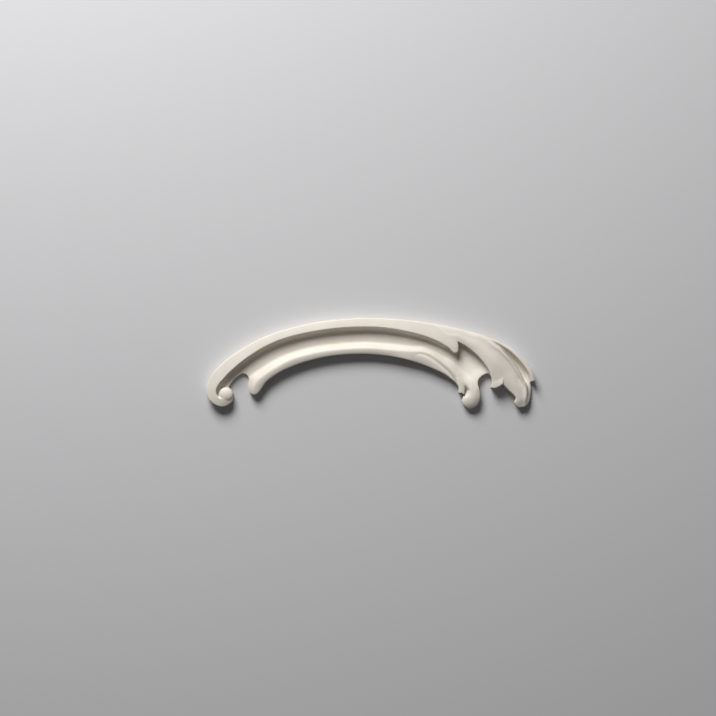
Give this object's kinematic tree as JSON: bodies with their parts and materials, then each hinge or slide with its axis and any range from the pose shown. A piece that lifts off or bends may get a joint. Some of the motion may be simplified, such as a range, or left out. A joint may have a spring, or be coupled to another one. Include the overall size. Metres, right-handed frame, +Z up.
{
  "type": "polyurethane scroll onlay",
  "caption": "Cast applique with a flat back: an arched cove-and-bead moulding with a volute at one end and hooked leaf ends at the other.",
  "frame": {"origin": "on the flat back, in the middle of the moulding's width at the crown of the arch", "axes": "+Z up the wall, +Y into the wall, so the carved face looks towards -Y; +X runs from the volute to the leaf ends"},
  "size_m": [0.15, 0.0071, 0.0413],
  "materials": {
    "cast_polyurethane": "matte cream-white cast polyurethane, unpainted"
  },
  "bodies": {
    "root": {"scroll_onlay": "cast_polyurethane"}
  },
  "joints": []
}
